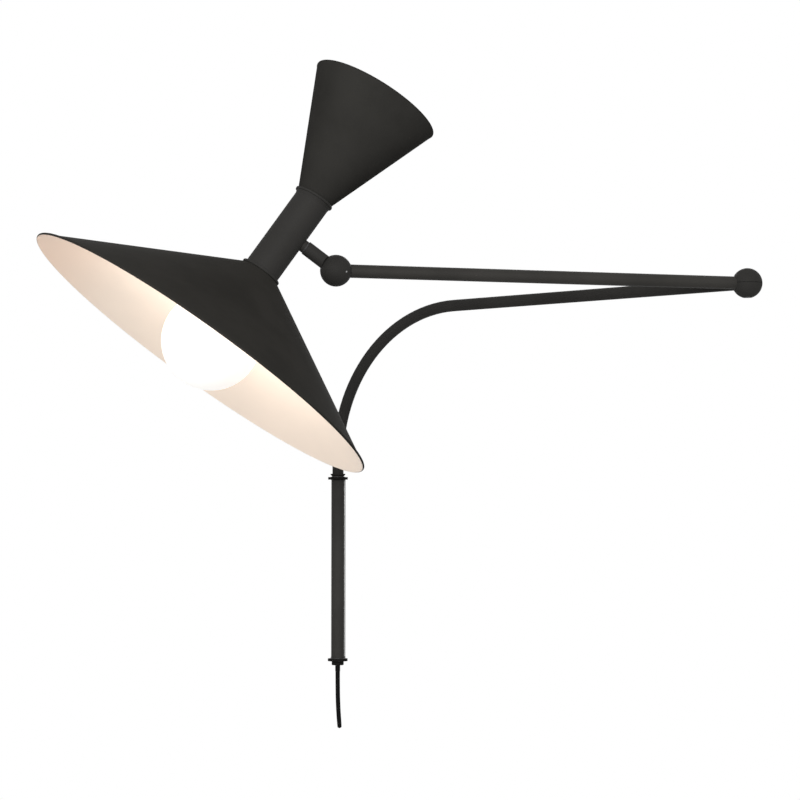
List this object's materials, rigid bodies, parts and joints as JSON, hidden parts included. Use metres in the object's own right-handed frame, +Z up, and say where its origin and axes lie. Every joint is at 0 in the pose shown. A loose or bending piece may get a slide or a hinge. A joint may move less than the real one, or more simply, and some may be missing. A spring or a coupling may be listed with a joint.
{
  "type": "swing arm wall lamp",
  "caption": "Wall lamp on a folding swing arm with ball knuckles, a wide conical shade over an opal globe below and a small cone that lights the ceiling above.",
  "frame": {"origin": "middle of the wall rail's back face, on the wall, halfway between the two wall screw holes", "axes": "+X to the right seen from the room, +Y into the wall, +Z up"},
  "size_m": [0.6061, 0.6075, 0.5806],
  "materials": {
    "black_paint": "matt warm black powder coat",
    "shade_paint": "matt warm black outside, cream white inside",
    "satin_steel": "satin, unpainted",
    "zinc_steel": "zinc plated",
    "bearing_plastic": "smooth black moulding",
    "friction_fibre": "black pressed fibre",
    "cord_sheath": "smooth black sheath",
    "inner_sheath": "black sheath",
    "holder_plastic": "black heat-proof moulding",
    "lamp_cap": "bright metal",
    "lit_glass": "opal, lit",
    "opal_glass": "opal"
  },
  "bodies": {
    "wall_bracket": {"wall_rail": "satin_steel", "upper_lug": "black_paint", "lower_lug": "black_paint", "lug_screws": "zinc_steel", "upper_bush": "bearing_plastic", "lower_bush": "bearing_plastic"},
    "lower_arm": {"pivot_tube": "black_paint", "pivot_set_screws": "zinc_steel", "pivot_head": "black_paint", "pivot_foot": "satin_steel", "end_nut": "black_paint", "strain_relief": "cord_sheath", "cord": "cord_sheath", "lower_arm_tube": "black_paint", "lower_arm_flex": "inner_sheath", "elbow_lower_dome": "black_paint", "elbow_friction_washer": "friction_fibre"},
    "upper_arm": {"elbow_upper_dome": "black_paint", "elbow_pivot_screw": "zinc_steel", "elbow_spring_washer": "zinc_steel", "upper_arm_tube": "black_paint", "upper_arm_flex": "inner_sheath", "tilt_rear_dome": "black_paint", "tilt_friction_washer": "friction_fibre"},
    "head_knuckle": {"tilt_front_dome": "black_paint", "tilt_stop_screw": "zinc_steel", "tilt_pivot_screw": "zinc_steel", "tilt_spring_washer": "zinc_steel", "stem_tube": "black_paint", "stem_flex": "inner_sheath", "swivel_bolt": "zinc_steel", "swivel_nut": "zinc_steel"},
    "lamp_head": {"body_tube": "black_paint", "swivel_boss": "black_paint", "swivel_washer": "friction_fibre", "saddle_washer": "zinc_steel", "shade_ring": "black_paint", "shade": "shade_paint", "lampholder": "holder_plastic", "globe_cap": "lamp_cap", "globe_glass": "lit_glass", "upper_ring": "black_paint", "upper_shade": "shade_paint", "upper_lampholder": "holder_plastic", "upper_holder_nut": "holder_plastic", "upper_bulb_cap": "lamp_cap", "upper_bulb_glass": "opal_glass", "head_leads": "inner_sheath"}
  },
  "joints": [
    {"name": "wall_swing", "type": "hinge", "parent": "wall_bracket", "child": "lower_arm", "pos_m": [0, -0.036, 0], "axis": [0, 0, 1], "range_deg": [-138, 37]},
    {"name": "elbow_swing", "type": "hinge", "parent": "lower_arm", "child": "upper_arm", "pos_m": [0.35687, -0.33176, 0.2527], "axis": [0, 0, 1], "range_deg": [-2, 250]},
    {"name": "head_tilt", "type": "hinge", "parent": "upper_arm", "child": "head_knuckle", "pos_m": [0.00416, -0.4233, 0.2527], "axis": [0.2512, -0.9679, 0], "range_deg": [-45, 75]},
    {"name": "head_turn", "type": "hinge", "parent": "head_knuckle", "child": "lamp_head", "pos_m": [-0.03453, -0.43335, 0.28121], "axis": [-0.788, -0.2045, 0.5807], "range_deg": [-90, 90]}
  ]
}
